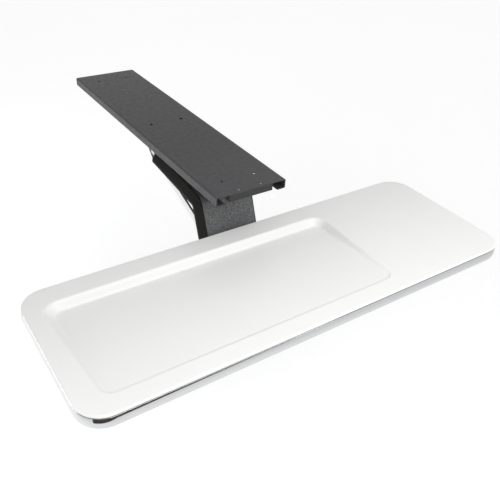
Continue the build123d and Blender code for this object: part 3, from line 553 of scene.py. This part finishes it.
def build_tray_top():
    """The tray's moulded top: plateau, keyboard bay, rolled rim and the skirt behind the band."""
    half_x = tray_half.x - skirt_inner
    half_y = tray_half.y - skirt_inner
    radius = tray_corner - skirt_inner
    rows = top_rows(tray_centre.y - half_y, tray_centre.y + half_y, radius)
    shares = top_columns(half_x) / half_x
    into_corner = np.maximum(np.abs(rows - tray_centre.y) - (half_y - radius), 0)
    row_half = half_x - radius + np.sqrt(np.maximum(radius ** 2 - into_corner ** 2, 0))
    grid_x = tray_centre.x + np.outer(row_half, shares)
    grid_y = np.repeat(rows[:, None], len(shares), axis=1)
    top = top_z - bay_depth(grid_x, grid_y)
    under = np.minimum(top_z - top_wall, top - pan_wall)

    row_count, column_count = grid_x.shape
    index = np.arange(row_count * column_count).reshape(row_count, column_count)
    loop = [*index[0, :], *index[1:, -1], *index[-1, -2::-1], *index[-2:0:-1, 0]]
    sheet = np.stack([grid_x, grid_y, top], axis=-1).reshape(-1, 3)
    lower = np.stack([grid_x, grid_y, under], axis=-1).reshape(-1, 3)
    edge = sheet[loop]
    out = ways_out(edge, half_x - radius, half_y - radius)

    roll = arc_points((rim_inset + edge_roll, -edge_roll), edge_roll, 90, 180, 9)
    profile = [(inset, top_z + z) for inset, z in roll]
    profile += [
        (rim_inset, rim_z + rim_lip),
        (rim_inset + rim_bevel, rim_z + rim_bevel),
        (rim_inset + rim_lip, rim_z),
        (skirt_outer, rim_z),
        (skirt_outer, base_z + skirt_bevel),
        (skirt_outer + skirt_bevel, base_z),
        (skirt_inner - skirt_bevel, base_z),
        (skirt_inner, base_z + skirt_bevel),
    ]
    points = [*map(tuple, sheet), *map(tuple, lower)]
    first_ring = len(points)
    for inset, height in profile:
        reach = skirt_inner - inset
        for place, direction in zip(edge, out):
            x = place[0] + direction[0] * reach
            y = place[1] + direction[1] * reach
            points.append((x, y, height))

    faces = []
    for row in range(row_count - 1):
        for column in range(column_count - 1):
            a, b = index[row, column], index[row, column + 1]
            c, d = index[row + 1, column + 1], index[row + 1, column]
            faces.append((a, b, c, d))
            faces.append(tuple(corner + len(sheet) for corner in (d, c, b, a)))
    count = len(loop)
    chain = [loop]
    for ring in range(len(profile)):
        chain.append(list(range(first_ring + ring * count, first_ring + (ring + 1) * count)))
    chain.append([corner + len(sheet) for corner in loop])
    for upper, below in zip(chain[:-1], chain[1:]):
        for i in range(count):
            j = (i + 1) % count
            faces.append((upper[i], below[i], below[j], upper[j]))
    faces = [tuple(int(corner) for corner in face) for face in faces]
    return add_mesh("tray_top_moulding", points, faces, [finishes["tray_white"]], 50)


tray_top = build_tray_top()
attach(tray_top, "tray")
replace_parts(tray_top, "tray_top")

# ---------------------------------------------------------------- edge band and its seal
band_top = gasket_z
band_bottom = band_low.z
band_wall = 2.2 * MM
band_back = 1.0 * MM + band_wall
band_bevel = 0.3 * MM


def band_profile():
    """Closed section of the band: a rolled lip, a bowed face that leans in, and a curled heel."""
    bow = 20.9 * MM
    widest = band_bottom + 7.5 * MM
    lip = 0.5 * MM
    curl_start = 198
    curl = math.radians(curl_start - 180)
    lean = math.asin((band_top - lip - widest) / (bow - lip))
    lean_start = 180 - math.degrees(lean)
    face = arc_points((bow, widest), bow, lean_start, curl_start, 20)
    lip_centre = (face[0][0] + lip * math.cos(lean), face[0][1] - lip * math.sin(lean))
    rolled = arc_points(lip_centre, lip, 90, lean_start, 5)
    drop = face[-1][1] - band_bottom
    heel = drop / (1 - math.sin(curl))
    heel_centre = (face[-1][0] + heel * math.cos(curl), face[-1][1] + heel * math.sin(curl))
    curled = arc_points(heel_centre, heel, curl_start, 270, 6)
    back = [(band_back, band_bottom + band_bevel), (band_back, band_top)]
    return rolled[:-1] + face + curled[1:] + back


edge_band = outline_sweep("edge_band_bright", band_profile(), finishes["edge_chrome"])
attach(edge_band, "tray")
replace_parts(edge_band, "edge_band")

seal_outer = 1.9 * MM
seal_bevel = 0.3 * MM
seal_bow = 0.06 * MM
seal_shoulder = 0.25 * MM
seal_profile = [
    (seal_outer + seal_bevel, rim_z),
    (seal_outer + seal_bow, rim_z - seal_shoulder),
    (seal_outer, (rim_z + gasket_z) / 2),
    (seal_outer + seal_bow, gasket_z + seal_shoulder),
    (seal_outer + seal_bevel, gasket_z),
    (skirt_outer, gasket_z),
    (skirt_outer, rim_z),
]
edge_seal = outline_sweep("edge_seal", seal_profile, finishes["gasket_rubber"])
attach(edge_seal, "tray")
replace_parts(edge_seal, "edge_gasket")

# ---------------------------------------------------------------- arm cover
cover_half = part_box("arm_cover")[1].x
cover_rise = 3 * MM
cover_drop = 16 * MM
cover_wall = 2.5 * MM
brow = 46.5 * MM    # half the width of the grained top
frame_half = 38.3 * MM
arm_bend_radius = 22 * MM
# The line of the arm's top in the YZ plane, as (y, z).
arm_start = Vector((-24 * MM, -27 * MM))
arm_bend = Vector((-205.3 * MM, -45 * MM))
arm_neck_foot = Vector((-230.5 * MM, -110.5 * MM))
shallow_way = (arm_bend - arm_start).normalized()
neck_way = (arm_neck_foot - arm_bend).normalized()
# The cover starts this far along that line and ends this far short of its foot.
cover_rear_gap = 28.2 * MM
cover_foot_gap = 2.4 * MM


def up_from(way):
    """Direction square to a way in the YZ plane, on its upper side."""
    up = Vector((way.y, -way.x))
    return up if up.y > 0 else -up


def cover_section():
    """Closed section of the cover as (x, height over the arm): flat roof, sloping sides, wings."""
    edge = cover_half
    inner = cover_half - cover_wall
    half = [
        (brow, cover_rise, 0),
        (48 * MM, cover_rise, 1.2 * MM),
        (edge, -10.5 * MM, 3.0 * MM),
        (edge, -cover_drop, 0.8 * MM),
        (inner, -cover_drop, 0.8 * MM),
        (inner, -11.5 * MM, 1.0 * MM),
        (46 * MM, 0.1 * MM, 1.0 * MM),
    ]
    other_half = [(-u, v, radius) for u, v, radius in reversed(half)]
    return rounded_corners(half + other_half, 5)


def build_arm_cover():
    """Cover over the arm: grained flat top, smooth sloping sides and wings darkened with painted
    shade, closed at both ends.
    """
    near = 0.1 * MM
    grained, smooth = 0, 1
    rear = arm_start + shallow_way * cover_rear_gap
    foot = arm_neck_foot - neck_way * cover_foot_gap
    line = rounded_corners([(*rear, 0), (*arm_bend, arm_bend_radius), (*foot, 0)], 20, closed=False)
    section = cover_section()
    points = []
    for i, here in enumerate(line):
        before = Vector(line[max(i - 1, 0)])
        after = Vector(line[min(i + 1, len(line) - 1)])
        up = up_from((after - before).normalized())
        for u, v in section:
            spot = Vector(here) + up * v
            points.append((u, spot.x, spot.y))
    count = len(section)
    faces = joined_rings(len(line), count, closed=False)
    slots = []
    for face in faces:
        ends = [section[corner % count] for corner in face[:2]]
        on_top = all(abs(u) < brow + near and v > cover_rise - near for u, v in ends)
        slots.append(grained if on_top else smooth)
    faces.append(tuple(range(count)))
    faces.append(tuple(reversed(range(len(points) - count, len(points)))))
    slots += [smooth, smooth]
    materials = [finishes["cover_plastic"], cover_border_painted_shade]
    return add_mesh("arm_cover_shell", points, faces, materials, 30, slots)


def build_cover_ends():
    """Four fins that close the cover's wings at its two ends."""
    fin_wall = 2 * MM
    fin_set_in = 0.2 * MM
    fin_low = -cover_drop + 0.3 * MM
    fin_outer = cover_half - 1 * MM
    fin_top = 1.2 * MM
    outline = [
        (frame_half, fin_low),
        (fin_outer, fin_low),
        (fin_outer, -11 * MM),
        (brow, fin_top),
        (frame_half, fin_top),
    ]
    corners = len(outline)
    points = []
    faces = []
    for anchor, inward in (
        (arm_start + shallow_way * (cover_rear_gap + fin_set_in), shallow_way),
        (arm_neck_foot - neck_way * (cover_foot_gap + fin_set_in), -neck_way),
    ):
        up = up_from(inward)
        for side in (-1, 1):
            first = len(points)
            for depth in (0, fin_wall):
                for u, v in outline:
                    spot = anchor + inward * depth + up * v
                    points.append((side * u, spot.x, spot.y))
            faces += joined_rings(2, corners, closed=False, start=first)
            faces.append(tuple(range(first, first + corners)))
            faces.append(tuple(range(first + corners, first + 2 * corners)))
    return add_mesh("arm_cover_ends", points, faces, [cover_border_painted_shade], 30)


for cover_piece in (build_arm_cover(), build_cover_ends()):
    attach(cover_piece, "arm")
    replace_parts(cover_piece, "arm_cover")

# ---------------------------------------------------------------- lift springs
pivot_y = -24 * MM
pivot_z = -40 * MM
coil_radius = 8.6 * MM
wire_radius = 1.3 * MM
coil_inner_x = 6.5 * MM
coil_pitch = 3.0 * MM
coil_start = math.radians(89.85)
coil_end = math.radians(4 * 360 + 94.9)
rear_leg = 45 * MM
front_leg = 36 * MM


def tube(name, path, radius, sides, material):
    """Round wire along a path that runs across X or round it."""
    points = []
    for i, here in enumerate(path):
        along = (path[min(i + 1, len(path) - 1)] - path[max(i - 1, 0)]).normalized()
        first = (Vector((1, 0, 0)) - along * along.x).normalized()
        second = along.cross(first)
        for k in range(sides):
            angle = 2 * math.pi * k / sides
            points.append(here + (first * math.cos(angle) + second * math.sin(angle)) * radius)
    faces = joined_rings(len(path), sides, closed=False)
    faces.append(tuple(range(sides)))
    faces.append(tuple(range(len(points) - sides, len(points))))
    return add_mesh(name, points, faces, [material])


def build_lift_spring(side, name):
    """Torsion spring: a leg under the spring bar, four turns round the axle, a leg under the arm."""
    coil_steps = 120
    wire_sides = 12
    leg_shares = (0.05, 0.5, 0.98, 1.0)
    coil_length = coil_pitch * (coil_end - coil_start) / (2 * math.pi)
    path = []
    for step in range(coil_steps + 1):
        share = step / coil_steps
        turn = coil_start + (coil_end - coil_start) * share
        x = side * (coil_inner_x + coil_length * share)
        y = pivot_y + coil_radius * math.cos(turn)
        z = pivot_z + coil_radius * math.sin(turn)
        path.append(Vector((x, y, z)))
    start_way = Vector((0, math.sin(coil_start), -math.cos(coil_start)))
    end_way = Vector((0, -math.sin(coil_end), math.cos(coil_end)))
    rear = [path[0] + start_way * (rear_leg * share) for share in reversed(leg_shares)]
    front = [path[-1] + end_way * (front_leg * share) for share in leg_shares]
    spring = tube(name, rear + path + front, wire_radius, wire_sides, finishes["spring_steel"])
    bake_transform(spring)
    return spring


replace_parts(build_lift_spring(-1, "lift_spring_coil_left"), "lift_spring_left")
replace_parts(build_lift_spring(1, "lift_spring_coil_right"), "lift_spring_right")

# ---------------------------------------------------------------- tilt knob
knob_low, knob_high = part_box("tilt_knob")
knob_centre = (knob_low + knob_high) / 2
knob_around = 96


def knob_ring(radius, along, lobe_share=0):
    """Ring of points round the knob's axis, pulled in between its six lobes."""
    lobes = 6
    valley_depth = 2.6 * MM
    valley_shape = 1.6
    ring = []
    for i in range(knob_around):
        angle = 2 * math.pi * i / knob_around
        dip = (0.5 - 0.5 * math.cos(lobes * angle)) ** valley_shape
        reach = radius - lobe_share * dip * valley_depth
        y = knob_centre.y + reach * math.cos(angle)
        z = knob_centre.z + reach * math.sin(angle)
        ring.append((knob_low.x + along, y, z))
    return ring


def build_tilt_knob():
    """Hub, a skirt with six soft lobes and a dished cap, round the bore for the insert."""
    outer = (knob_high.y - knob_low.y) / 2
    length = knob_high.x - knob_low.x
    hub = 10 * MM
    bore = 8 * MM
    middle = 0.2 * MM
    bore_end = length - 3 * MM
    outside = [
        (bore, 0.4 * MM, 0),
        (bore + 0.4 * MM, 0, 0),
        (hub - 0.6 * MM, 0, 0),
        (hub, 0.6 * MM, 0),
        (hub, 4.6 * MM, 0),
        (outer - 1.6 * MM, 5.0 * MM, 0.9),
        (outer - 0.4 * MM, 5.9 * MM, 1),
        (outer - 0.05 * MM, 7.4 * MM, 1),
        (outer - 0.1 * MM, length - 4.0 * MM, 1),
        (outer - 0.6 * MM, length - 2.0 * MM, 1),
        (outer - 1.8 * MM, length - 0.6 * MM, 0.9),
        (outer - 3.4 * MM, length - 0.05 * MM, 0.6),
        (hub - 0.5 * MM, length - 0.1 * MM, 0.1),
        (hub - 1.6 * MM, length - 0.7 * MM, 0),
        (5 * MM, length - 1.1 * MM, 0),
        (middle, length - 1.2 * MM, 0),
    ]
    points = []
    for radius, along, lobe_share in outside:
        points += knob_ring(radius, along, lobe_share)
    faces = joined_rings(len(outside), knob_around, closed=False)
    faces.append(tuple(range(len(points) - knob_around, len(points))))
    wall = len(points)
    end = wall + knob_around
    points += knob_ring(bore, bore_end) + knob_ring(middle, bore_end)
    for i in range(knob_around):
        j = (i + 1) % knob_around
        faces.append((j, i, wall + i, wall + j))
        faces.append((wall + j, wall + i, end + i, end + j))
    faces.append(tuple(reversed(range(end, end + knob_around))))
    return add_mesh("tilt_knob_moulding", points, faces, [finishes["knob_plastic"]], 40)


tilt_knob = build_tilt_knob()
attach(tilt_knob, "tilt_knob")
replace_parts(tilt_knob, "tilt_knob")

# ---------------------------------------------------------------- floor, light and camera
tray_middle = Vector((tray_centre.x, tray_centre.y, top_z))


def build_floor():
    """Round pale floor at a desk's usual height below the track."""
    desk_height = 0.70
    floor_radius = 30.0
    ring = []
    for angle in np.radians(np.arange(0, 360, 5)):
        ring.append((math.cos(angle) * floor_radius, math.sin(angle) * floor_radius, -desk_height))
    floor = add_mesh("studio_floor", ring, [tuple(range(len(ring)))], [studio_floor()])


def soft_light(name, offset, width, depth, power):
    """Rectangular area light at an offset from the tray's middle, aimed at it."""
    data = bpy.data.lights.new(name, "AREA")
    data.shape = "RECTANGLE"
    data.size = width
    data.size_y = depth
    data.energy = power
    light = bpy.data.objects.new(name, data)
    bpy.context.scene.collection.objects.link(light)
    place = tray_middle + Vector(offset)
    light.location = place
    light.rotation_euler = (tray_middle - place).to_track_quat("-Z", "Y").to_euler()


def build_light():
    """Even surround, a near soft light at the front, and one behind the left that picks out rims."""
    world = bpy.data.worlds.new("studio")
    world.use_nodes = True
    surround = world.node_tree.nodes["Background"]
    surround.inputs["Color"].default_value = (1.0, 1.0, 1.0, 1.0)
    surround.inputs["Strength"].default_value = 0.78
    bpy.context.scene.world = world
    soft_light("front", (0.08, -0.70, 0.62), width=0.9, depth=0.5, power=5.0)
    soft_light("back_left", (-1.5, 0.8, 0.5), width=1.2, depth=0.6, power=14.0)


def build_reflected_card():
    """Dark upright card at the front left that only reflections show, as a dark room would be."""
    near = Vector((-0.80, -0.80))
    far = Vector((1.1, -2.6))
    low, high = -0.46, 0.14
    corners = [(*near, low), (*far, low), (*far, high), (*near, high)]
    finish = Finish("dark_card", (0.035, 0.04, 0.05), 0.8)
    tone = finish.noise(0.25, 3.0)
    finish.feed("Base Color", finish.blend(tone, (0.02, 0.03, 0.045), (0.10, 0.07, 0.05)))
    card = add_mesh("reflected_card", corners, [(0, 1, 2, 3)], [finish.material])
    card.visible_camera = False
    card.visible_diffuse = False
    card.visible_shadow = False


def build_sky_card():
    """Level card over the track that shades the back of the tray as a desk's top would, unseen."""
    front, back, half_width, height = -0.29, 0.7, 1.1, 0.10
    corners = [
        (-half_width, front, height),
        (half_width, front, height),
        (half_width, back, height),
        (-half_width, back, height),
    ]
    finish = Finish("sky_card", (0.55, 0.55, 0.55), 0.9)
    finish.feed("Base Color", finish.blend(finish.noise(0.3, 2.0), (0.5, 0.5, 0.5), (0.6, 0.6, 0.6)))
    card = add_mesh("sky_card", corners, [(0, 1, 2, 3)], [finish.material])
    card.visible_camera = False
    card.visible_glossy = False


def build_camera():
    """Camera in front, to the left and above, tipped a little to its left."""
    heading, fall, tilt = -35.79, 34.82, 3.71
    place = Vector((-0.47865, -0.9483, 0.4580))
    data = bpy.data.cameras.new("camera")
    data.sensor_width = 36.0
    data.lens = 44.55
    data.clip_start = 0.01
    data.clip_end = 100
    camera = bpy.data.objects.new("camera", data)
    bpy.context.scene.collection.objects.link(camera)
    turn = Matrix.Rotation(math.radians(heading), 4, "Z")
    drop = Matrix.Rotation(math.radians(90 - fall), 4, "X")
    tip = Matrix.Rotation(math.radians(tilt), 4, "Z")
    camera.matrix_world = Matrix.Translation(place) @ turn @ drop @ tip
    bpy.context.scene.camera = camera


build_floor()
build_light()
build_reflected_card()
build_sky_card()
build_camera()
bpy.context.scene.view_settings.view_transform = "Standard"
